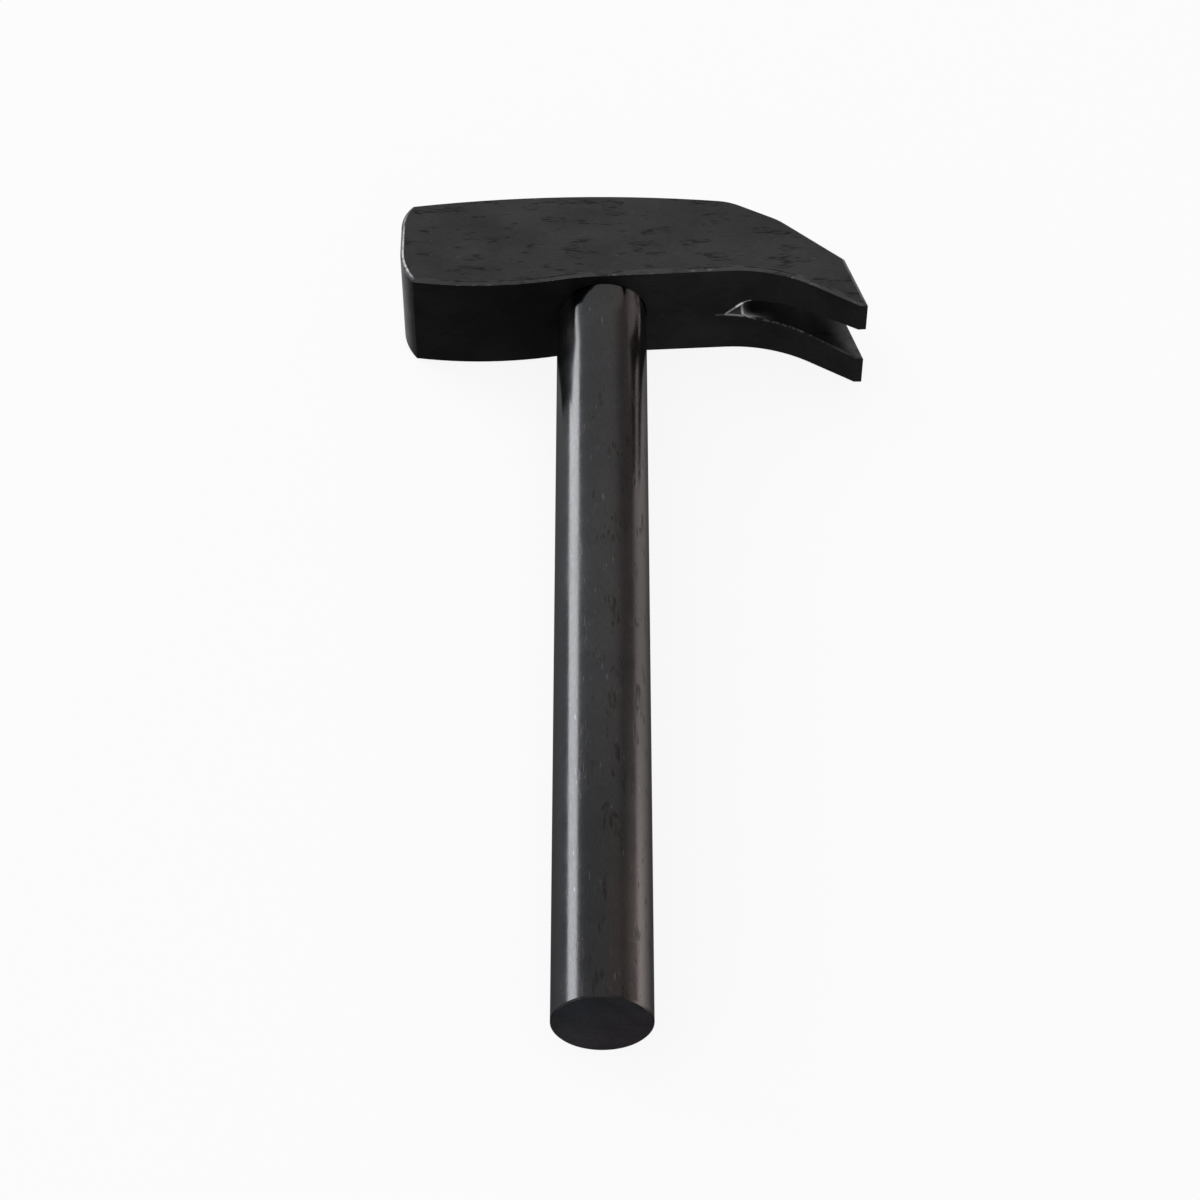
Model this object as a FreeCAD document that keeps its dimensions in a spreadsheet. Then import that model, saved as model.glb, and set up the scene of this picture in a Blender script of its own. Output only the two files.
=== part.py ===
import FreeCAD, Part
import os

import Sketcher

# Blacksmith hammer: a forged head with a flat striking face at one end and a split nail claw at
# the other, on a steel tube that is expanded into a round eye.
#
# It lies on one cheek.  X runs from the striking face (-X) to the claw (+X), Y from the butt of
# the handle (-Y) to the crown of the head (+Y), and Z is up, square to the cheeks.  The origin is
# on the lower cheek, right below the centre of the eye.  Lengths are millimetres, angles degrees.
# A "reach" is a distance from the handle's axis along X, and a "high" or "low" a height along Y.

DIMENSIONS = [
    # outline of the forged head, seen square to the cheeks
    ("head_thickness", 42.2),
    ("face_reach", 71.9),
    ("face_flat_low", -8.5),
    ("face_flat_high", 4.2),
    ("face_low_radius", 24.0),
    ("face_low_corner", 67.1),
    ("face_high_radius", 16.0),
    ("face_high_corner", 68.0),
    ("crown_radius", 449.0),
    ("crown_end", 42.0),
    ("poll_bend_radius", 20.0),
    ("poll_slope", 27.9),
    ("claw_bend_reach", 65.4),
    ("claw_bend_radius", 22.0),
    ("claw_slope", 41.1),
    ("bevel_reach", 86.3),
    ("bevel_high", -11.9),
    ("claw_reach", 93.6),
    ("tip_flat_reach", 90.9),
    ("tip_low", -34.4),
    ("claw_arch_radius", 52.0),
    ("claw_arch_start", 45.0),
    ("claw_arch_high", -17.25),
    ("neck_end", -2.0),
    ("neck_high", -20.0),
    ("belly_radius", 150.0),
    ("belly_end", -15.2),
    # edges of the head
    ("cheek_chamfer", 1.3),
    ("corner_rounding", 0.7),
    # nail slot in the claw
    ("slot_root_reach", 54.3),
    ("slot_root_radius", 4.3),
    ("slot_mouth_half", 7.3),
    ("slot_overrun", 12.0),
    ("slot_chamfer", 0.5),
    # notch filed into the underside at the root of the slot
    ("notch_start", 44.5),
    ("notch_full", 51.0),
    ("notch_end", 56.0),
    ("notch_half", 3.4),
    ("notch_lean", 2.7),
    ("notch_plane", -17.4),
    ("notch_depth", 3.8),
    ("notch_taper", 38.0),
    # eye of the head and the tube that is expanded into it
    ("handle_radius", 16.0),
    ("tube_bore", 13.0),
    ("seat_radius", 15.6),
    ("seat_shoulder", -22.6),
    ("flare_start", 6.0),
    ("flare_end", 19.2),
    ("flare_growth", 1.2),
    ("eye_overrun", 30.0),
    ("eye_chamfer", 0.6),
    # tapered plug driven into the tube
    ("plug_pilot_radius", 12.8),
    ("plug_pilot_length", 5.0),
    ("plug_centre_radius", 2.4),
    ("plug_centre_depth", 1.4),
    # cap in the butt of the tube
    ("butt_reach", 316.0),
    ("cap_flange", 3.0),
    ("cap_spigot", 14.0),
    ("cap_edge", 0.5),
    ("cap_lead", 1.0),
]

MIDDLE = "Dims.head_thickness / 2"

# crisp corners of the cheek outline, each named by the element that starts there
CRISP_CORNERS = ["belly", "claw_back", "face_high"]

# radius of the flared eye where its cut ends, above the crown
FLARE_AT_OVERRUN = (
    "Dims.seat_radius + Dims.flare_growth * (Dims.eye_overrun - Dims.flare_start)"
    " / (Dims.flare_end - Dims.flare_start)"
)

# half-width of the slot where its cut ends, beyond the tip
SLOT_AT_OVERRUN = (
    "(Dims.slot_mouth_half + Dims.slot_overrun"
    " * (Dims.slot_mouth_half - Dims.slot_root_radius)"
    " / (Dims.claw_reach - Dims.slot_root_reach))"
)


def make_sheet(doc):
    sheet = doc.addObject("Spreadsheet::Sheet", "Dims")
    for row, (alias, value) in enumerate(DIMENSIONS, start=1):
        sheet.set(f"A{row}", alias)
        sheet.set(f"B{row}", repr(value))
        sheet.setAlias(f"B{row}", alias)
    doc.recompute()
    return sheet


# ---- sketches ------------------------------------------------------------------------------


def new_body(doc, label):
    body = doc.addObject("PartDesign::Body", label)
    body.Label = label
    return body


def new_sketch(body, name, role, offset):
    """A sketch on one of the body's own planes; offset maps x or z to how far it is shifted."""
    sketch = body.newObject("Sketcher::SketchObject", name)
    plane = next(item for item in body.Origin.OriginFeatures if item.Role == role)
    sketch.AttachmentSupport = [(plane, "")]
    sketch.MapMode = "FlatFace"
    for axis, distance in offset.items():
        sketch.setExpression(f"AttachmentOffset.Base.{axis}", distance)
    return sketch


def bind(sketch, kind, targets, value, expression):
    """Adds one dimension to a sketch and ties it to the sheet."""
    index = sketch.addConstraint(Sketcher.Constraint(kind, *targets, value))
    sketch.setExpression(f"Constraints[{index}]", expression)


def place(sketch, geometry, end, point, across=None, along=None):
    """Holds one point of an element at distances from the sketch's origin."""
    if across:
        bind(sketch, "DistanceX", (-1, 1, geometry, end), point[0], across)
    if along:
        bind(sketch, "DistanceY", (-1, 1, geometry, end), point[1], along)


def draw_chain(sketch, steps):
    """Draws a closed chain of named lines and arcs and joins them end to end.

    Each step is (name, rough points, smooth): two points make a line, three an arc, and smooth
    says that it leaves the step before it tangentially.  Returns, for each name, its geometry
    number and the numbers of its first and last points.
    """
    ends = {}
    for name, points, _ in steps:
        vectors = [FreeCAD.Vector(*point, 0) for point in points]
        element = Part.LineSegment(*vectors) if len(vectors) == 2 else Part.Arc(*vectors)
        geometry = sketch.addGeometry(element)
        forward = (sketch.getPoint(geometry, 1) - vectors[0]).Length < 0.01
        ends[name] = (geometry, 1, 2) if forward else (geometry, 2, 1)
    for index, (name, _, smooth) in enumerate(steps):
        before, _, last = ends[steps[index - 1][0]]
        here, first, _ = ends[name]
        relation = "Tangent" if smooth else "Coincident"
        sketch.addConstraint(Sketcher.Constraint(relation, before, last, here, first))
    return ends


def draw_polygon(sketch, corners):
    """Draws a closed polygon; each corner is a pair of expressions on the sheet."""
    count = len(corners)
    points = [tuple(float(sketch.evalExpression(text)) for text in pair) for pair in corners]
    vectors = [FreeCAD.Vector(*point, 0) for point in points]
    for index, start in enumerate(vectors):
        sketch.addGeometry(Part.LineSegment(start, vectors[(index + 1) % count]))
    for index in range(count):
        joint = Sketcher.Constraint("Coincident", index, 2, (index + 1) % count, 1)
        sketch.addConstraint(joint)
    for index, (across, along) in enumerate(corners):
        place(sketch, index, 1, points[index], across, along)


# ---- features ------------------------------------------------------------------------------


def turn(doc, body, kind, name, corners, shift="0"):
    """Turns a polygon of radius and height pairs about an axis along Y, midway between cheeks."""
    section = new_sketch(body, f"{name}_section", "XY_Plane", {"x": shift, "z": MIDDLE})
    draw_polygon(section, corners)
    feature = body.newObject(f"PartDesign::{kind}", name)
    feature.Profile = section
    feature.ReferenceAxis = (section, ["V_Axis"])
    feature.Angle = 360
    doc.recompute()
    return feature


def dress(doc, body, kind, name, base, wanted, size):
    """A fillet or chamfer on the edges of the base feature that a test function accepts."""
    edges = [f"Edge{number}" for number, edge in enumerate(base.Shape.Edges, 1) if wanted(edge)]
    feature = body.newObject(f"PartDesign::{kind}", name)
    feature.Base = (base, edges)
    feature.setExpression("Radius" if kind == "Fillet" else "Size", size)
    doc.recompute()
    return feature


def draw_outline(doc, body):
    """The head's outline on the cheek, anticlockwise from the lower corner of the face."""
    outline = new_sketch(body, "cheek_outline", "XY_Plane", {})
    ends = draw_chain(
        outline,
        [
            ("belly", ((-67.1, -22.2), (-42.0, -24.1), (-16.0, -21.7)), False),
            ("neck", ((-16.0, -21.7), (-9.1, -20.6), (-2.0, -20.0)), True),
            ("underside", ((-2.0, -20.0), (45.0, -17.25)), True),
            ("claw_arch", ((45.0, -17.25), (61.0, -18.9), (75.2, -24.9)), True),
            ("claw_under", ((75.2, -24.9), (90.9, -34.4)), True),
            ("tip_flat", ((90.9, -34.4), (93.6, -34.4)), False),
            ("bevel", ((93.6, -34.4), (86.3, -11.9)), False),
            ("claw_back", ((86.3, -11.9), (65.4, 6.3)), False),
            ("claw_bend", ((65.4, 6.3), (63.3, 7.9), (61.0, 9.2)), True),
            ("poll_slope", ((61.0, 9.2), (49.4, 15.3)), True),
            ("poll_bend", ((49.4, 15.3), (45.8, 16.8), (42.0, 17.5)), True),
            ("crown", ((42.0, 17.5), (-12.2, 19.5), (-68.0, 14.5)), True),
            ("face_high", ((-68.0, 14.5), (-70.9, 9.9), (-71.9, 4.2)), False),
            ("face_flat", ((-71.9, 4.2), (-71.9, -8.5)), True),
            ("face_low", ((-71.9, -8.5), (-70.7, -15.7), (-67.1, -22.2)), True),
        ],
    )

    def radius(name, value, expression):
        bind(outline, "Radius", (ends[name][0],), value, expression)

    def slope(name, value, expression):
        bind(outline, "Angle", (ends[name][0],), value, expression)

    def start(name, point, across=None, along=None):
        place(outline, *ends[name][:2], point, across, along)

    radius("belly", 150.0, "Dims.belly_radius")
    radius("claw_arch", 52.0, "Dims.claw_arch_radius")
    radius("claw_bend", 22.0, "Dims.claw_bend_radius")
    radius("poll_bend", 20.0, "Dims.poll_bend_radius")
    radius("crown", 449.0, "Dims.crown_radius")
    radius("face_high", 16.0, "Dims.face_high_radius")
    radius("face_low", 24.0, "Dims.face_low_radius")
    slope("claw_back", 2.4243, "(180 - Dims.claw_slope) * 1 deg")
    slope("poll_slope", 2.6546, "(180 - Dims.poll_slope) * 1 deg")
    start("belly", (-67.1, -22.2), "-Dims.face_low_corner")
    start("neck", (-15.2, -21.7), "Dims.belly_end")
    start("underside", (-2.0, -20.0), "Dims.neck_end", "Dims.neck_high")
    start("claw_arch", (45.0, -17.25), "Dims.claw_arch_start", "Dims.claw_arch_high")
    start("tip_flat", (90.9, -34.4), "Dims.tip_flat_reach", "Dims.tip_low")
    start("bevel", (93.6, -34.4), "Dims.claw_reach", "Dims.tip_low")
    start("claw_back", (86.3, -11.9), "Dims.bevel_reach", "Dims.bevel_high")
    start("claw_bend", (65.4, 6.3), "Dims.claw_bend_reach")
    start("crown", (42.0, 17.5), "Dims.crown_end")
    start("face_high", (-68.0, 14.5), "-Dims.face_high_corner")
    start("face_flat", (-71.9, 4.2), "-Dims.face_reach", "Dims.face_flat_high")
    start("face_low", (-71.9, -8.5), "-Dims.face_reach", "Dims.face_flat_low")
    doc.recompute()
    return outline, ends


def cut_slot(doc, body):
    """The nail slot: a round root between two sides that open steadily towards the tip."""
    plan = new_sketch(body, "slot_plan", "XZ_Plane", {})
    ends = draw_chain(
        plan,
        [
            ("root", ((54.0, 25.4), (50.0, 21.1), (54.0, 16.8)), True),
            ("low_side", ((54.0, 16.8), (105.6, 12.9)), True),
            ("mouth", ((105.6, 12.9), (105.6, 29.3)), False),
            ("high_side", ((105.6, 29.3), (54.0, 25.4)), False),
        ],
    )
    root = ends["root"][0]
    reach = "Dims.claw_reach + Dims.slot_overrun"
    bind(plan, "Radius", (root,), 4.3, "Dims.slot_root_radius")
    place(plan, root, 3, (54.3, 21.1), "Dims.slot_root_reach", MIDDLE)
    place(plan, *ends["mouth"][:2], (105.6, 12.9), reach, f"{MIDDLE} - {SLOT_AT_OVERRUN}")
    place(plan, *ends["high_side"][:2], (105.6, 29.3), reach, f"{MIDDLE} + {SLOT_AT_OVERRUN}")
    slot = body.newObject("PartDesign::Pocket", "nail_slot")
    slot.Profile = plan
    slot.Type = "ThroughAll"
    slot.SideType = "Symmetric"
    doc.recompute()
    return slot


def cut_notch(doc, body):
    """A tapered notch from the underside that runs out to a point ahead of the slot's root.

    The point leans towards the lower cheek, so one side of the notch runs nearly along X.
    """
    plan = new_sketch(body, "notch_plan", "XZ_Plane", {"z": "-Dims.notch_plane"})
    corners = [
        ("Dims.notch_start", f"{MIDDLE} - Dims.notch_lean"),
        ("Dims.notch_full", f"{MIDDLE} - Dims.notch_half"),
        ("Dims.notch_end", f"{MIDDLE} - Dims.notch_half"),
        ("Dims.notch_end", f"{MIDDLE} + Dims.notch_half"),
        ("Dims.notch_full", f"{MIDDLE} + Dims.notch_half"),
    ]
    draw_polygon(plan, corners)
    notch = body.newObject("PartDesign::Pocket", "root_notch")
    notch.Profile = plan
    notch.Type = "Length"
    notch.setExpression("Length", "Dims.notch_depth")
    notch.setExpression("TaperAngle", "-Dims.notch_taper")
    doc.recompute()
    return notch


# ---- the four pieces -----------------------------------------------------------------------


def make_head(doc, dims):
    body = new_body(doc, "hammer_head")
    outline, ends = draw_outline(doc, body)

    blank = body.newObject("PartDesign::Pad", "forged_blank")
    blank.Profile = outline
    blank.setExpression("Length", "Dims.head_thickness")
    doc.recompute()

    def on_a_cheek(edge):
        return edge.BoundBox.ZLength < 1e-4

    size = "Dims.cheek_chamfer"
    ground = dress(doc, body, "Chamfer", "ground_edges", blank, on_a_cheek, size)

    spots = [outline.getPoint(*ends[name][:2]) for name in CRISP_CORNERS]

    def at_a_corner(edge):
        """An upright edge over a crisp corner, or the short mitre at one of its ends."""
        near = []
        for vertex in edge.Vertexes:
            near.append(any(abs(vertex.X - p.x) + abs(vertex.Y - p.y) < 0.05 for p in spots))
        mitre = abs(edge.BoundBox.ZLength - dims.cheek_chamfer) < 0.01
        return all(near) or (any(near) and mitre)

    size = "Dims.corner_rounding"
    corners = dress(doc, body, "Fillet", "dressed_corners", ground, at_a_corner, size)

    bore = [
        ("0", "-Dims.eye_overrun"),
        ("Dims.seat_radius", "-Dims.eye_overrun"),
        ("Dims.seat_radius", "Dims.flare_start"),
        (FLARE_AT_OVERRUN, "Dims.eye_overrun"),
        ("0", "Dims.eye_overrun"),
    ]
    eye = turn(doc, body, "Groove", "eye", bore)
    check_cut(corners, eye)

    def at_eye_mouth(edge):
        box = edge.BoundBox
        level = dims.seat_shoulder < box.YMin and box.YMax < dims.claw_arch_high
        near_axis = all(abs(vertex.X) < dims.handle_radius for vertex in edge.Vertexes)
        return level and near_axis and box.ZLength > 1

    mouth = dress(doc, body, "Chamfer", "eye_mouth", eye, at_eye_mouth, "Dims.eye_chamfer")

    slot = cut_slot(doc, body)
    check_cut(mouth, slot)

    middle = dims.head_thickness / 2
    root_start = dims.slot_root_reach - dims.slot_root_radius

    def on_slot_rim(edge):
        """An edge where the slot's root or a side of it meets the outside of the claw."""
        box = edge.BoundBox
        widest = dims.slot_mouth_half + 0.1
        between = box.ZMin > middle - widest and box.ZMax < middle + widest
        down_the_wall = box.YLength > 30 and box.XLength < 0.01
        return between and box.XMin > root_start - 0.1 and not down_the_wall

    rim = dress(doc, body, "Chamfer", "slot_rim", slot, on_slot_rim, "Dims.slot_chamfer")

    notch = cut_notch(doc, body)
    check_cut(rim, notch)
    return body


def make_tube(doc):
    """Steel tube, turned down a little where it seats in the eye and flared at the crown."""
    body = new_body(doc, "handle_tube")
    wall = [
        ("Dims.tube_bore", "Dims.cap_flange - Dims.butt_reach"),
        ("Dims.handle_radius", "Dims.cap_flange - Dims.butt_reach"),
        ("Dims.handle_radius", "Dims.seat_shoulder"),
        ("Dims.seat_radius", "Dims.seat_shoulder"),
        ("Dims.seat_radius", "Dims.flare_start"),
        ("Dims.seat_radius + Dims.flare_growth", "Dims.flare_end"),
        ("Dims.tube_bore + Dims.flare_growth", "Dims.flare_end"),
        ("Dims.tube_bore", "Dims.flare_start"),
    ]
    turn(doc, body, "Revolution", "tube", wall)
    return body


def make_plug(doc):
    """Tapered plug that holds the flared tube open; it has a centre mark from the lathe."""
    body = new_body(doc, "expander_plug")
    section = [
        ("0", "Dims.flare_start - Dims.plug_pilot_length"),
        ("Dims.plug_pilot_radius", "Dims.flare_start - Dims.plug_pilot_length"),
        ("Dims.plug_pilot_radius", "Dims.flare_start"),
        ("Dims.tube_bore", "Dims.flare_start"),
        ("Dims.tube_bore + Dims.flare_growth", "Dims.flare_end"),
        ("Dims.plug_centre_radius", "Dims.flare_end"),
        ("0", "Dims.flare_end - Dims.plug_centre_depth"),
    ]
    turn(doc, body, "Revolution", "plug", section)
    return body


def make_cap(doc):
    """Cap that closes the butt: a flange as wide as the tube, on a spigot in its bore."""
    body = new_body(doc, "butt_cap")
    spigot_end = "Dims.cap_flange + Dims.cap_spigot - Dims.butt_reach"
    section = [
        ("0", "-Dims.butt_reach"),
        ("Dims.handle_radius - Dims.cap_edge", "-Dims.butt_reach"),
        ("Dims.handle_radius", "Dims.cap_edge - Dims.butt_reach"),
        ("Dims.handle_radius", "Dims.cap_flange - Dims.butt_reach"),
        ("Dims.tube_bore", "Dims.cap_flange - Dims.butt_reach"),
        ("Dims.tube_bore", f"{spigot_end} - Dims.cap_lead"),
        ("Dims.tube_bore - Dims.cap_lead", spigot_end),
        ("0", spigot_end),
    ]
    turn(doc, body, "Revolution", "cap", section)
    return body


# ---- checks and files ----------------------------------------------------------------------


def check_cut(before, after):
    if not after.Shape.Volume < before.Shape.Volume - 1.0:
        raise RuntimeError(f"{after.Name} cut nothing")


def check_document(doc):
    for item in doc.Objects:
        if "Invalid" in item.State or "Error" in item.State:
            raise RuntimeError(f"{item.Name} failed: {item.getStatusString()}")
        if item.isDerivedFrom("Sketcher::SketchObject") and not item.FullyConstrained:
            raise RuntimeError(f"{item.Name} isn't fully constrained")


def write_part(body):
    shape = body.Shape
    if shape.isNull() or not shape.isValid() or len(shape.Solids) != 1:
        raise RuntimeError(f"{body.Label} isn't one valid solid")
    shape.exportStep(f"parts/{body.Label}.step")
    print(f"{body.Label}: {shape.Volume / 1000:.1f} cm3")


def main():
    doc = FreeCAD.newDocument("blacksmith_hammer")
    dims = make_sheet(doc)
    bodies = [make_head(doc, dims), make_tube(doc), make_plug(doc), make_cap(doc)]
    doc.recompute()
    check_document(doc)
    os.makedirs("parts", exist_ok=True)
    for body in bodies:
        write_part(body)


main()
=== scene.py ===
import math

import bpy
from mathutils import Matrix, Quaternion, Vector


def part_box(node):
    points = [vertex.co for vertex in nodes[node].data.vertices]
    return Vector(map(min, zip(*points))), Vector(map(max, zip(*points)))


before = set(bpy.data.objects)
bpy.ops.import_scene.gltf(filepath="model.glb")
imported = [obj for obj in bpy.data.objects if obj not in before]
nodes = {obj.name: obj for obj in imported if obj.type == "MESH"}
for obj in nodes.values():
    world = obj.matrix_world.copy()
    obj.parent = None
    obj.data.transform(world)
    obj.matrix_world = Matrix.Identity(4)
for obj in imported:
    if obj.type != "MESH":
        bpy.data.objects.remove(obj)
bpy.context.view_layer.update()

# The hammer lies on one cheek.  X runs from the striking face to the claw, Y from the butt of the
# handle to the crown of the head, and Z is up.  Lengths are metres, and a "reach" is a place along
# X, a "high" one along Y.
X, Y, Z = range(3)

head_low, head_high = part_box("hammer_head")
THICKNESS = head_high.z
MID_THICKNESS = THICKNESS / 2
FACE_REACH = head_low.x
TIP_REACH = head_high.x
# the reach of the nail slot's root, and how high the underside of the head is there
ROOT_REACH = 0.0500
ROOT_UNDERSIDE = -0.0172

# the two tints that drift over a surface, and the tint of its pits
NEUTRAL = ((1.0, 1.0, 1.0), (1.0, 0.99, 0.98), (1.0, 0.98, 0.96))
# the tube's: a cool tint, a warm tint that paints a reflection on the claw side, and the tint of its
# pits
COOL_WITH_WARM_REFLECTION = ((0.99, 0.995, 1.015), (1.10, 0.985, 0.965), (1.08, 0.96, 0.93))
PURPLE = ((0.90, 0.98, 1.11), (1.12, 0.93, 1.09), (1.0, 1.0, 1.0))
# bare bright steel
BARE = (0.60, 0.60, 0.59)

# ---- node helpers --------------------------------------------------------------------------


class Tree:
    """A node tree whose nodes are added and linked by the name or number of their sockets."""

    def __init__(self, tree):
        self.tree = tree
        tree.nodes.clear()

    def add(self, kind, inputs=None, **settings):
        node = self.tree.nodes.new(kind)
        for name, value in settings.items():
            setattr(node, name, value)
        for key, value in (inputs or {}).items():
            socket = node.inputs[key]
            if isinstance(value, bpy.types.NodeSocket):
                self.tree.links.new(value, socket)
            else:
                socket.default_value = value
        return node

    def math(self, operation, *values, clamp=False):
        """An operation on one value, or on the first two and then on the result and each next."""
        result = values[0]
        for value in values[1:] or (0.0,):
            made = self.add("ShaderNodeMath", {0: result, 1: value}, operation=operation)
            made.use_clamp = clamp
            result = made.outputs[0]
        return result

    def times(self, *values):
        return self.math("MULTIPLY", *values)

    def plus(self, *values):
        return self.math("ADD", *values)

    def minus(self, first, second):
        return self.math("SUBTRACT", first, second)

    def most(self, *values):
        return self.math("MAXIMUM", *values)

    def smooth(self, value, low, high, to_low=0.0, to_high=1.0):
        """Maps low..high smoothly to to_low..to_high."""
        limits = {"Value": value, 1: low, 2: high, 3: to_low, 4: to_high}
        made = self.add("ShaderNodeMapRange", limits, interpolation_type="SMOOTHSTEP")
        return made.outputs[0]

    def band(self, value, start, full, fade, end):
        """Rises from start to full and falls again from fade to end."""
        return self.times(self.smooth(value, start, full), self.smooth(value, fade, end, 1.0, 0.0))

    def along(self, axis):
        """One coordinate of the object."""
        coordinates = self.add("ShaderNodeTexCoord").outputs["Object"]
        return self.add("ShaderNodeSeparateXYZ", {0: coordinates}).outputs[axis]

    def noise(self, scale, detail=3.0, roughness=0.55, shift=(0.0, 0.0, 0.0)):
        """Noise with scale features per metre along each axis of the object."""
        coordinates = self.add("ShaderNodeTexCoord").outputs["Object"]
        stretch = {"Vector": coordinates, "Location": shift, "Scale": scale}
        settings = {
            "Vector": self.add("ShaderNodeMapping", stretch).outputs[0],
            "Scale": 1.0,
            "Detail": detail,
            "Roughness": roughness,
        }
        return self.add("ShaderNodeTexNoise", settings).outputs["Fac"]

    def blend(self, factor, first, second):
        """Mixes two colours, each a socket or three numbers."""
        made = self.add("ShaderNodeMix", {"Factor": factor}, data_type="RGBA")
        for index, value in ((6, first), (7, second)):
            if isinstance(value, bpy.types.NodeSocket):
                self.tree.links.new(value, made.inputs[index])
            else:
                made.inputs[index].default_value = (*value, 1.0)
        return made.outputs[2]

    def scaled(self, vector, amount):
        """A vector or colour times a number."""
        inputs = {0: vector, "Scale": amount}
        return self.add("ShaderNodeVectorMath", inputs, operation="SCALE").outputs[0]

    def turned(self, normal, push, towards):
        """A normal with a push added to it, towards a direction."""
        ends = {0: normal, 1: self.scaled(towards, push)}
        total = self.add("ShaderNodeVectorMath", ends, operation="ADD").outputs[0]
        return self.add("ShaderNodeVectorMath", {0: total}, operation="NORMALIZE").outputs[0]


def new_material(name):
    material = bpy.data.materials.new(name)
    material.use_nodes = True
    return material, Tree(material.node_tree)


# ---- the head's wear, painted light and painted shade: each function gives a brightness from place to place ---


def from_cheek(tree):
    """Depth below the nearer cheek."""
    height = tree.math("ABSOLUTE", tree.minus(tree.along(Z), MID_THICKNESS))
    return tree.minus(MID_THICKNESS, height)


def edge_line_and_painted_highlight(tree):
    """A chamfer with a painted highlight broken into glints, and a broken dark line just under the
    cheek.
    """
    depth = from_cheek(tree)
    breaks = tree.smooth(tree.noise((90, 90, 90), 2.0, 0.6), 0.35, 0.6)
    dark = tree.times(tree.band(depth, 0.0, 0.0002, 0.00035, 0.00055), breaks)
    # painted highlight: glints that lighten the chamfer farther from the cheek than the dark line
    glints = tree.smooth(tree.noise((260, 900, 900), 2.0, 0.6, (5.0, 5.0, 5.0)), 0.60, 0.70)
    lit = tree.times(glints, tree.smooth(depth, 0.0006, 0.0011), 2.2)
    return tree.plus(tree.smooth(dark, 0.0, 1.0, 1.0, 0.45), lit)


def painted_rim_highlight(tree):
    """A painted highlight: a bright line just under the cheek, along the chamfer of the striking
    face.
    """
    chips = tree.noise((420, 420, 420), 3.0, 0.6, (8.0, 1.0, 2.0))
    chips = tree.smooth(chips, 0.38, 0.55, 0.45, 1.0)
    # painted highlight along the striking face's chamfer, broken up by noise
    line = tree.times(tree.band(from_cheek(tree), 0.0, 0.0002, 0.0005, 0.0008), chips, 4.2)
    low = tree.smooth(tree.along(Y), -0.006, 0.008, 1.0, 0.6)
    return tree.times(tree.plus(1.0, line), low)


def face_polish_and_painted_shade(tree):
    """Polished by blows in the middle of the face, and darker towards its corners, which paints the
    shade where the face turns into the underside.
    """
    # polish in the middle of the face, painted shade towards its edges
    return tree.smooth(tree.along(X), FACE_REACH + 0.0003, FACE_REACH + 0.0043, 1.0, 0.10)


def back_shade(tree):
    """Painted shade on the underside: darker towards the striking face, and most of all beside the
    handle there.
    """
    reach = tree.along(X)
    # painted shade beside the handle, where the handle meets the head
    shade_beside_handle = tree.times(tree.band(reach, -0.045, -0.022, -0.014, 0.006), 0.32)
    even = tree.smooth(reach, -0.045, 0.035, 0.70, 1.15)
    return tree.times(even, tree.minus(1.0, shade_beside_handle))


def root_wear_and_rim_highlight(tree):
    """The slot's rim: bright and chipped at the root as worn there, with a painted highlight along
    the rest that fades towards the tip.
    """
    reach = tree.along(X)
    chips = tree.noise((500, 500, 500), 3.0, 0.6, (4.0, 1.0, 6.0))
    chips = tree.smooth(chips, 0.40, 0.60, 0.12, 1.0)
    # bright wear at the root, then a painted highlight along the rim that fades near the tip
    near = tree.smooth(reach, ROOT_REACH, ROOT_REACH + 0.010, 2.2, 0.8)
    far = tree.smooth(reach, TIP_REACH - 0.0156, TIP_REACH - 0.0086, 1.0, 0.40)
    least = tree.smooth(reach, TIP_REACH - 0.0136, TIP_REACH - 0.0076, 0.18, 0.6)
    return tree.most(tree.times(near, far, chips), least)


def wall_light(tree):
    """Slot walls with painted shade deep in the slot and painted light along the back of the tips,
    and brighter at the rim of the root as worn there.
    """
    reach, high = tree.along(X), tree.along(Y)
    # painted light and shade: dark deep in the slot where the tines shade it, light towards the tips
    painted_light_to_tip = tree.smooth(tree.plus(reach, tree.times(high, 0.70)), 0.0650, 0.0690, 0.45, 1.0)
    tip = tree.smooth(reach, TIP_REACH - 0.0136, TIP_REACH - 0.0016, 0.32, 2.2)
    inner = tree.smooth(reach, TIP_REACH - 0.0236, TIP_REACH - 0.0136, 1.0, 0.0)
    root = tree.smooth(reach, ROOT_REACH + 0.004, ROOT_REACH + 0.014, 1.0, 0.0)
    low = tree.smooth(high, ROOT_UNDERSIDE - 0.0008, ROOT_UNDERSIDE + 0.0042, 5.0, 0.0)
    return tree.plus(tree.times(painted_light_to_tip, tree.most(tip, inner)), tree.times(root, low))


# ---- bright upset metal round the notch ------------------------------------------------------

# each burr: start and end by X and Z, inner and outer half-width, and how bright it is
BURRS = [
    ((0.0447, 0.0187), (0.0490, 0.0228), 0.00020, 0.00065, 0.35),
    ((0.0485, 0.0223), (0.0503, 0.0240), 0.00030, 0.00085, 1.0),
    ((0.0503, 0.0242), (0.0532, 0.0256), 0.00015, 0.00070, 0.45),
    ((0.0445, 0.0183), (0.0508, 0.0176), 0.00015, 0.00060, 0.28),
    ((0.0502, 0.0238), (0.0507, 0.0185), 0.00020, 0.00075, 0.62),
    ((0.0412, 0.0183), (0.0445, 0.0183), 0.00000, 0.00060, 0.03),
]
# metal smeared along the lip of the slot: start and end by X and Z, inner and outer half-width
SMEAR = ((0.0514, 0.0178), (0.0592, 0.0156), 0.0004, 0.0023)
SMEAR_BRIGHTNESS = 0.58
# which way the upset metal faces, and how far it is turned that way
UPSET = (-0.12, -0.63, 0.77)
UPSET_PUSH = 3.0


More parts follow.
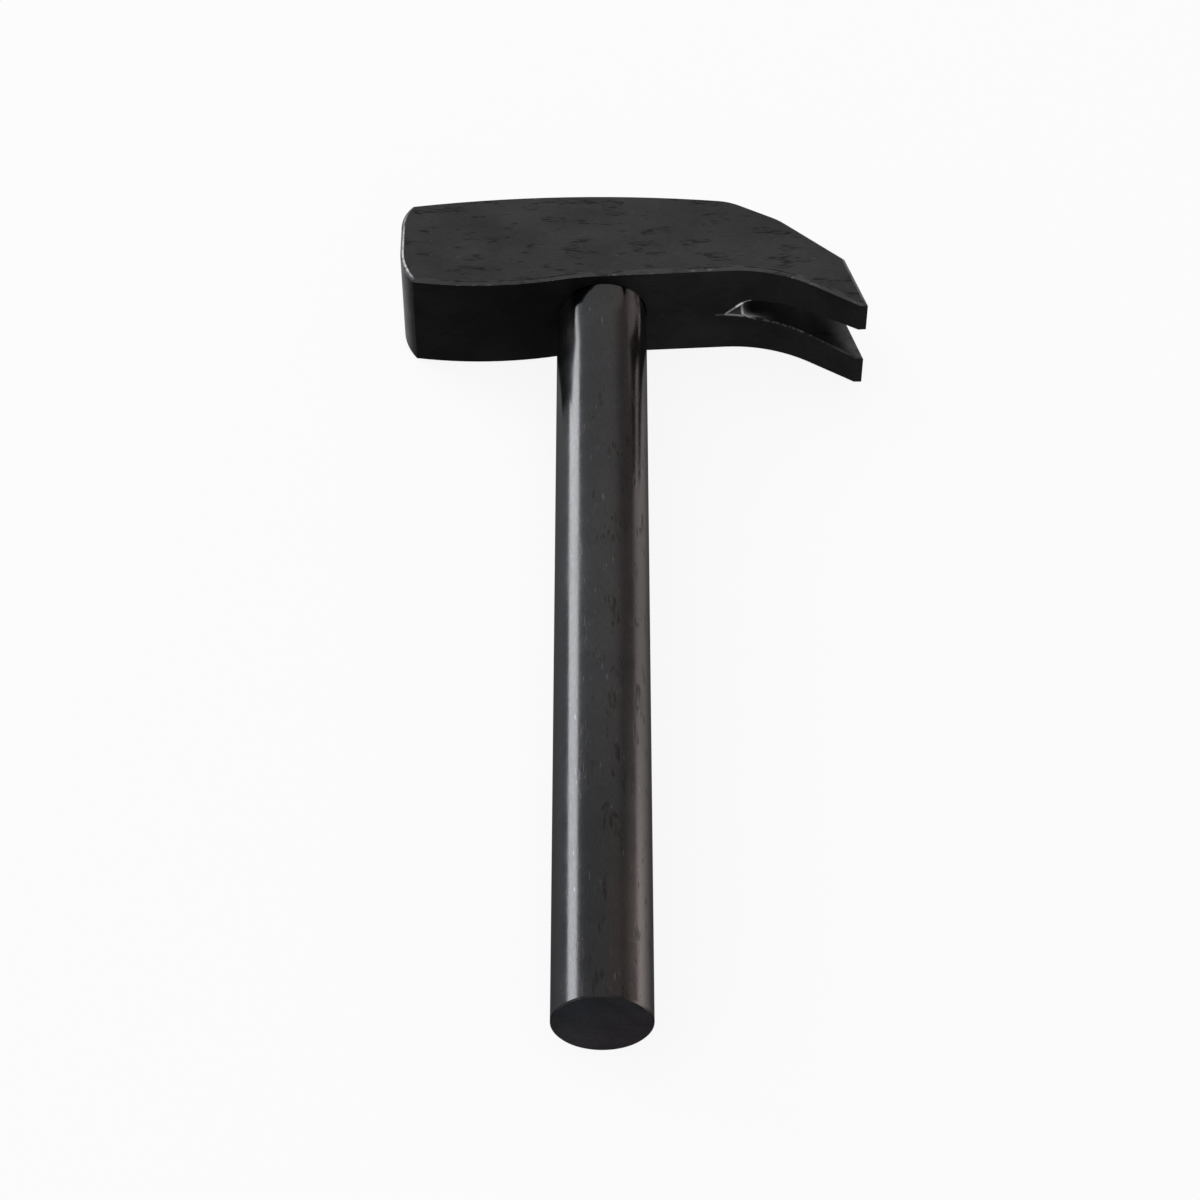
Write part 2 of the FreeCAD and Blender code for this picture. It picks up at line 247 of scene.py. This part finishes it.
def near_line(tree, start, end, inner, outer):
    """1 on the line between two points given by X and Z, falling to 0 away from it."""
    run, rise = end[0] - start[0], end[1] - start[1]
    across = tree.minus(tree.along(X), start[0])
    up = tree.minus(tree.along(Z), start[1])
    travel = tree.plus(tree.times(across, run), tree.times(up, rise))
    share = tree.math("DIVIDE", travel, run**2 + rise**2, clamp=True)
    aside = tree.minus(across, tree.times(share, run))
    above = tree.minus(up, tree.times(share, rise))
    squared = tree.plus(tree.times(aside, aside), tree.times(above, above))
    return tree.smooth(tree.math("SQRT", squared), inner, outer, 1.0, 0.0)


def smeared(tree):
    """How bright the smear is: it lies on the lip, and gets narrower away from the root."""
    reach, high = tree.along(X), tree.along(Y)
    narrowing = tree.times(tree.minus(reach, SMEAR[0][0]), 0.36)
    top = tree.plus(high, narrowing)
    fading, gone = ROOT_UNDERSIDE + 0.0012, ROOT_UNDERSIDE + 0.0042
    below_top = tree.smooth(top, fading, gone, SMEAR_BRIGHTNESS, 0.0)
    on_the_lip = tree.smooth(high, ROOT_UNDERSIDE, ROOT_UNDERSIDE + 0.0004)
    past_the_root = tree.smooth(reach, ROOT_REACH + 0.0004, ROOT_REACH + 0.0009)
    return tree.times(below_top, on_the_lip, near_line(tree, *SMEAR), past_the_root)


def notch_burrs(tree):
    """How bright the metal round the notch is, and how far it is turned up."""
    chips = tree.noise((700, 700, 700), 2.0, 0.6, (4.0, 1.0, 6.0))
    chips = tree.smooth(chips, 0.30, 0.60, 0.75, 1.0)
    fading, gone = ROOT_UNDERSIDE + 0.0047, ROOT_UNDERSIDE + 0.0077
    below = tree.smooth(tree.along(Y), fading, gone, 1.0, 0.0)
    bright, raised = 0.0, 0.0
    for *line, strength in BURRS:
        burr = near_line(tree, *line)
        bright = tree.most(bright, tree.times(burr, strength))
        raised = tree.most(raised, burr)
    smear = smeared(tree)
    bright = tree.most(tree.times(bright, chips, below), smear)
    raised = tree.most(tree.times(raised, below), tree.times(smear, 0.5))
    return bright, raised


# ---- the handle: marks, painted reflections, tints and a bent normal -------------------------


def tube_painted_reflections(tree):
    """Painted reflections: lighter down one side towards the butt, darker on top there, paler on the
    flanks by the head.
    """
    across, high = tree.along(X), tree.along(Y)
    # painted reflection of the floor down one side, growing towards the butt
    side = tree.band(across, 0.0060, 0.0105, 0.0110, 0.0150)
    lighter = tree.times(side, tree.smooth(high, -0.310, -0.150, 1.7, 0.0))
    top = tree.band(across, -0.0080, -0.0050, 0.0040, 0.0090)
    darker = tree.times(top, tree.smooth(high, -0.290, -0.180, 0.30, 0.0))
    level = tree.minus(tree.plus(1.0, lighter), darker)

    # painted reflections on both flanks next to the head
    left = tree.smooth(across, -0.0120, -0.0095, 1.8, 0.0)
    right = tree.times(tree.band(across, 0.0085, 0.0100, 0.0110, 0.0130), 1.3)
    below_head = tree.times(tree.plus(left, right), tree.smooth(high, -0.080, -0.055))
    left = tree.smooth(across, -0.0122, -0.0096, 3.2, 0.0)
    right = tree.smooth(across, 0.0095, 0.0120, 0.0, 0.9)
    beside_head = tree.times(tree.plus(left, right), tree.smooth(high, -0.050, -0.036))
    return tree.plus(level, below_head, beside_head)


def tube_clear(tree):
    """Few marks on the side that faces away from the claw, and next to the head."""
    side = tree.smooth(tree.along(X), -0.0085, -0.0050, 0.12, 1.0)
    return tree.times(side, tree.smooth(tree.along(Y), -0.085, -0.060, 1.0, 0.25))


def tube_warm_reflection(tree):
    """A painted warm reflection: browner on the side towards the claw, with an uneven border."""
    waver = tree.noise((30, 14, 30), 2.0, 0.5, (9.3, 3.3, 0.2))
    waver = tree.smooth(waver, 0.3, 0.7, -0.004, 0.004)
    return tree.smooth(tree.plus(tree.along(X), waver), -0.001, 0.0085)


def cap_tint(tree):
    """Bluer above on the striking side, and more purple below on the claw side."""
    return tree.smooth(tree.minus(tree.along(X), tree.along(Z)), -0.042, 0.0)


def swell(tree):
    """The tube's shading normal leans towards the butt as if its surface swelled where it enters the
    head, in a wide lobe and a narrow one, and the wide lobe's left corner starts to lean a little
    lower."""
    across, high = tree.along(X), tree.along(Y)
    slant = tree.minus(across, tree.smooth(high, -0.0340, -0.0195, 0.0, 0.0056))
    left_edge = tree.smooth(slant, -0.0112, -0.0062)
    right_edge = tree.smooth(across, 0.0060, 0.0092, 1.0, 0.0)
    wide = tree.times(left_edge, right_edge, tree.smooth(high, -0.0340, -0.0215, 0.0, 0.50))
    narrow = tree.band(across, 0.0073, 0.0096, 0.0125, 0.0150)
    narrow = tree.times(narrow, tree.smooth(high, -0.0470, -0.0260, 0.0, 0.62))
    rise = tree.smooth(high, -0.0460, -0.0280, 0.0, 0.26)
    fall = tree.smooth(high, -0.0290, -0.0262, 1.0, 0.0)
    corner = tree.times(tree.band(across, -0.0102, -0.0090, -0.0072, -0.0058), rise, fall)
    outward = tree.add("ShaderNodeNewGeometry").outputs["Normal"]
    return tree.turned(outward, tree.most(wide, narrow, corner), (0.0, -1.0, 0.0))


# ---- blackened steel -------------------------------------------------------------------------


def pit_marks(tree, grain, patches):
    """Pits drawn out along the grain in groups, a few lone ones, and a little soot round them."""
    groups = tree.smooth(tree.noise(patches, 1.5, 0.5, (1.3, 4.2, 0.6)), 0.53, 0.63)
    dash = tree.smooth(tree.noise(grain, 2.0, 0.55), 0.44, 0.64)
    dash = tree.times(dash, tree.smooth(groups, 0.0, 1.0))
    lone = tree.smooth(tree.noise(grain, 1.0, 0.5, (6.0, 2.0, 9.0)), 0.66, 0.78)
    return tree.most(dash, tree.times(lone, 0.7), tree.times(groups, 0.22))


def broad_drift(tree):
    """Wide soft areas that take the second of the two tints."""
    return tree.smooth(tree.noise((17, 17, 17), 2.0, 0.5, (9.3, 3.3, 0.2)), 0.38, 0.62)


def dark_steel(
    name,
    grain,
    base,
    roughness,
    pits=0.5,
    flecks=0.0,
    patches=(95, 150, 150),
    mottle=0.16,
    tones=NEUTRAL,
    tint=broad_drift,
    shape=None,
    clear=None,
    burr=None,
    normal=None,
):
    """Blackened steel with fine pits drawn out along the grain, stains and light flecks.

    grain and patches are features per metre along each axis, for the pits and for the groups they
    lie in.  pits and flecks are strengths, and mottle is how strongly the stains show.  tones are
    the two tints that drift over the surface and the tint of the pits, and tint says where the
    second one shows.  shape multiplies the brightness from place to place, and clear thins the
    marks out.  burr says how bright raised metal is and how far it is turned up, and normal bends
    the surface before the fine relief.
    """
    material, tree = new_material(name)
    marks = pit_marks(tree, grain, patches)
    if clear:
        marks = tree.times(marks, clear(tree))
    stains = tree.noise((38, 48, 48), 4.0, 0.6, (3.1, 0.4, 1.7))
    fine = tree.noise(tuple(g * 2.4 for g in grain), 3.0, 0.6, (0.7, 2.2, 5.1))

    first, second, pitted = [tuple(c * base for c in tone) for tone in tones]
    colour = tree.blend(tint(tree), first, second)
    colour = tree.blend(tree.times(marks, 0.8), colour, pitted)
    level = tree.times(
        tree.smooth(stains, 0.28, 0.72, 1.0 - mottle, 1.0 + mottle),
        tree.smooth(fine, 0.30, 0.70, 1.08, 0.90),
        tree.smooth(marks, 0.0, 1.0, 1.0, 1.0 - 0.8 * pits),
    )
    if shape:
        level = tree.times(level, shape(tree))
    if flecks:
        glints = tree.noise(tuple(g * 1.3 for g in grain), 1.0, 0.5, (2.0, 7.7, 3.0))
        level = tree.plus(level, tree.smooth(glints, 0.70, 0.78, 0.0, flecks))
    colour = tree.scaled(colour, level)

    rough = tree.smooth(stains, 0.25, 0.75, roughness - 0.04, roughness + 0.05)
    rough = tree.plus(rough, tree.times(marks, 0.22))
    height = tree.minus(tree.times(fine, 0.18), marks)
    pitting = {"Strength": 0.30, "Distance": 0.0001, "Height": height}
    if normal:
        pitting["Normal"] = normal(tree)
    relief = tree.add("ShaderNodeBump", pitting).outputs[0]
    if burr:
        bright, raised = burr(tree)
        colour = tree.blend(bright, colour, BARE)
        relief = tree.turned(relief, tree.times(raised, UPSET_PUSH), UPSET)

    shader = {"Metallic": 1.0, "Base Color": colour, "Roughness": rough, "Normal": relief}
    surface = tree.add("ShaderNodeBsdfPrincipled", shader)
    tree.add("ShaderNodeOutputMaterial", {"Surface": surface.outputs[0]})
    return material


# ---- materials of the pieces ---------------------------------------------------------------

EVEN_GRAIN = (400, 400, 400)

CHEEK = dark_steel(
    "blackened_cheek",
    grain=(220, 1300, 1300),
    base=0.038,
    roughness=0.42,
    pits=0.62,
    flecks=0.5,
    patches=(80, 200, 200),
    mottle=0.20,
)
# the underside: forged scale, darkened with painted shade
BACK = dark_steel(
    "forged_scale_painted_shade", (170, 500, 500), 0.032, 0.48, pits=0.30, shape=back_shade, burr=notch_burrs
)
# the head's chamfers: a painted highlight and a broken dark line
EDGE = dark_steel("edge_painted_highlight", (210, 1200, 1200), 0.058, 0.40, pits=0.3, shape=edge_line_and_painted_highlight)
# the striking face's rim: a painted highlight
RIM = dark_steel("rim_painted_highlight", EVEN_GRAIN, 0.030, 0.36, pits=0.2, shape=painted_rim_highlight)
# the striking face: polished steel, with painted shade towards its edges
FACE = dark_steel("striking_face", (300, 300, 300), 0.42, 0.38, pits=0.5, shape=face_polish_and_painted_shade)
# the slot's walls: painted shade deep inside and painted light towards the tips
SLOT = dark_steel(
    "slot_wall", (200, 200, 500), 0.034, 0.50, pits=0.4, shape=wall_light, burr=notch_burrs
)
NOTCH = dark_steel("notch", EVEN_GRAIN, 0.030, 0.45, pits=0.3, burr=notch_burrs)
# the slot's rim: wear at the root and a painted highlight along the rest
RIM_WEAR_AND_HIGHLIGHT = dark_steel(
    "slot_rim_wear_and_painted_highlight", EVEN_GRAIN, 0.060, 0.36, pits=0.2, shape=root_wear_and_rim_highlight, burr=notch_burrs
)
# the tube: blackened steel with painted reflections down its sides and by the head
TUBE = dark_steel(
    "blackened_tube_painted_reflections",
    grain=(900, 170, 900),
    base=0.045,
    roughness=0.19,
    pits=0.48,
    flecks=0.7,
    patches=(190, 70, 190),
    mottle=0.07,
    tones=COOL_WITH_WARM_REFLECTION,
    tint=tube_warm_reflection,
    shape=tube_painted_reflections,
    clear=tube_clear,
    normal=swell,
)
LIP = dark_steel("eye_lip", EVEN_GRAIN, 0.11, 0.42, pits=0.3)
PLUG = dark_steel("turned_plug", (700, 700, 700), 0.10, 0.35, pits=0.3)
CAP = dark_steel(
    "blackened_cap", (420, 420, 420), 0.074, 0.45, pits=0.3, tones=PURPLE, tint=cap_tint
)


def paint(node, materials, choose):
    """Gives each face of a node one of the materials, by its centre and normal."""
    mesh = nodes[node].data
    mesh.materials.clear()
    for material in materials:
        mesh.materials.append(material)
    for face in mesh.polygons:
        face.material_index = materials.index(choose(face.center, face.normal))


# how far in from the outside the head's chamfers, face rim, face and eye lip reach
CHAMFER_DEPTH = 0.0016
RIM_LENGTH = 0.006
FACE_LENGTH = 0.0055
EYE_LIP_RADIUS = 0.0168
# the room that holds the nail slot and its notch
SLOT_START = 0.0440
SLOT_HALF = 0.0085
# how far the notch, the worn rim with its painted highlight and the slot's round root reach towards
# the tip
NOTCH_END = 0.0505
NOTCH_HALF = 0.0034
WORN_ROOT_END = 0.0535
HIGHLIT_RIM_END = 0.0905
SLOT_ROOT_END = 0.056


def slot_finish(centre, normal, aside):
    """The finish of a face in or beside the nail slot, or None if it is on the outside."""
    upright = abs(normal.z)
    bevelled = normal.y < -0.2 and (upright > 0.3 or abs(normal.x) > 0.3)
    if bevelled and centre.x < NOTCH_END and aside < NOTCH_HALF:
        return NOTCH
    if bevelled and centre.x < HIGHLIT_RIM_END and (upright > 0.3 or centre.x < WORN_ROOT_END):
        return RIM_WEAR_AND_HIGHLIGHT
    if upright > 0.9 or (normal.x > 0.2 and centre.x < SLOT_ROOT_END):
        return SLOT
    return None


def head_finish(centre, normal):
    """The finish of a face of the head; the slot is looked for first, then the edges."""
    aside = abs(centre.z - MID_THICKNESS)
    upright = abs(normal.z)
    if upright > 0.98 and aside > MID_THICKNESS - 0.0001:
        return CHEEK
    if math.hypot(centre.x, centre.z - MID_THICKNESS) < EYE_LIP_RADIUS and normal.y < -0.2:
        return LIP
    if aside < SLOT_HALF and centre.x > SLOT_START:
        found = slot_finish(centre, normal, aside)
        if found:
            return found
    if upright > 0.35 and aside > MID_THICKNESS - CHAMFER_DEPTH:
        return RIM if centre.x < FACE_REACH + RIM_LENGTH else EDGE
    if centre.x < FACE_REACH + FACE_LENGTH and normal.x < -0.3:
        return FACE
    return BACK


paint("hammer_head", [CHEEK, BACK, EDGE, RIM, FACE, SLOT, RIM_WEAR_AND_HIGHLIGHT, NOTCH, LIP], head_finish)
paint("handle_tube", [TUBE], lambda centre, normal: TUBE)
paint("expander_plug", [PLUG], lambda centre, normal: PLUG)
paint("butt_cap", [CAP, TUBE], lambda centre, normal: CAP if normal.y < -0.95 else TUBE)

# ---- floor, backdrop and light -------------------------------------------------------------

FLOOR_HALF = 12.0
SQUARE = ((-1, -1), (1, -1), (1, 1), (-1, 1))


def pale_glow(name, albedo, glow):
    """A matte surface that also glows by itself, with a trace less green than red and blue."""
    material, tree = new_material(name)
    matte = tree.add("ShaderNodeBsdfDiffuse", {"Color": (albedo, albedo, albedo, 1.0)})
    shining = {"Color": (glow, glow * 0.994, glow, 1.0), "Strength": 1.0}
    lit = tree.add("ShaderNodeEmission", shining)
    both = tree.add("ShaderNodeAddShader", {0: matte.outputs[0], 1: lit.outputs[0]})
    tree.add("ShaderNodeOutputMaterial", {"Surface": both.outputs[0]})
    return material


def lay_floor(material):
    """A flat floor that the steel neither reflects nor takes light from."""
    mesh = bpy.data.meshes.new("floor")
    corners = [(x * FLOOR_HALF, y * FLOOR_HALF, 0.0) for x, y in SQUARE]
    mesh.from_pydata(corners, [], [(0, 1, 2, 3)])
    mesh.materials.append(material)
    floor = bpy.data.objects.new("floor", mesh)
    bpy.context.scene.collection.objects.link(floor)
    floor.visible_diffuse = False
    floor.visible_glossy = False


def light_studio():
    """A soft backdrop: dark below and bright from the horizon up, and on the claw's side with a
    shade above the horizon and a bounce below it."""
    world = bpy.data.worlds.new("studio")
    bpy.context.scene.world = world
    world.use_nodes = True
    sky = Tree(world.node_tree)
    generated = sky.add("ShaderNodeTexCoord").outputs["Generated"]
    direction = sky.add("ShaderNodeSeparateXYZ", {0: generated})
    across, up = direction.outputs[X], direction.outputs[Z]
    level = sky.plus(sky.smooth(up, -0.80, 0.0, 0.10, 0.70), sky.smooth(up, 0.0, 0.30, 0.0, 0.26))
    shade = sky.times(sky.smooth(across, 0.15, 0.55), sky.band(up, 0.02, 0.16, 0.45, 0.75))
    level = sky.times(level, sky.minus(1.0, sky.times(shade, 0.55)))
    bounce = sky.times(sky.smooth(across, 0.20, 0.60), sky.band(up, -0.70, -0.10, -0.02, 0.12))
    level = sky.plus(level, sky.times(bounce, 0.65))
    tint = sky.blend(sky.smooth(across, -0.4, 0.6), (0.975, 0.995, 1.03), (1.04, 0.995, 0.97))
    background = sky.add("ShaderNodeBackground", {"Color": tint, "Strength": level})
    sky.add("ShaderNodeOutputWorld", {"Surface": background.outputs[0]})


def softbox(name, aim, azimuth, elevation, roll, distance, width, height, radiance, colour):
    """An area light; azimuth is in degrees from +Y towards -X, elevation is above the floor, and
    roll lifts the side that is farther from +Y."""
    turn, tilt = math.radians(azimuth), math.radians(elevation)
    away = Vector((-math.sin(turn) * math.cos(tilt), math.cos(turn) * math.cos(tilt), math.sin(tilt)))
    light = bpy.data.lights.new(name, "AREA")
    light.shape = "RECTANGLE"
    light.size = width
    light.size_y = height
    light.energy = radiance * math.pi * width * height
    light.color = colour
    made = bpy.data.objects.new(name, light)
    made.location = Vector(aim) + away * distance
    rolled = away.to_track_quat("Z", "Y") @ Quaternion((0.0, 0.0, 1.0), math.radians(roll))
    made.rotation_euler = rolled.to_euler()
    bpy.context.scene.collection.objects.link(made)


lay_floor(pale_glow("pale_floor", albedo=0.078, glow=0.895))
light_studio()
softbox(
    "left_softbox",
    aim=(0.0, -0.15, 0.02),
    azimuth=51.0,
    elevation=14.0,
    roll=26.0,
    distance=4.0,
    width=3.25,
    height=1.45,
    radiance=8.6,
    colour=(0.955, 0.965, 1.0),
)

# ---- camera --------------------------------------------------------------------------------

# how high the camera stands, in radians, how far away, and what it looks at
ELEVATION = 0.898239
DISTANCE = 1.14018
TARGET = Vector((-0.00068, -0.1509, MID_THICKNESS))
# millimetres
LENS = 102.09
SENSOR = 36.0

camera_data = bpy.data.cameras.new("camera")
camera_data.lens = LENS
camera_data.sensor_width = SENSOR
camera = bpy.data.objects.new("camera", camera_data)
towards = Vector((0.0, -math.cos(ELEVATION), math.sin(ELEVATION)))
camera.location = TARGET + towards * DISTANCE
camera.rotation_euler = towards.to_track_quat("Z", "Y").to_euler()
bpy.context.scene.collection.objects.link(camera)
bpy.context.scene.camera = camera
bpy.context.scene.view_settings.view_transform = "Standard"
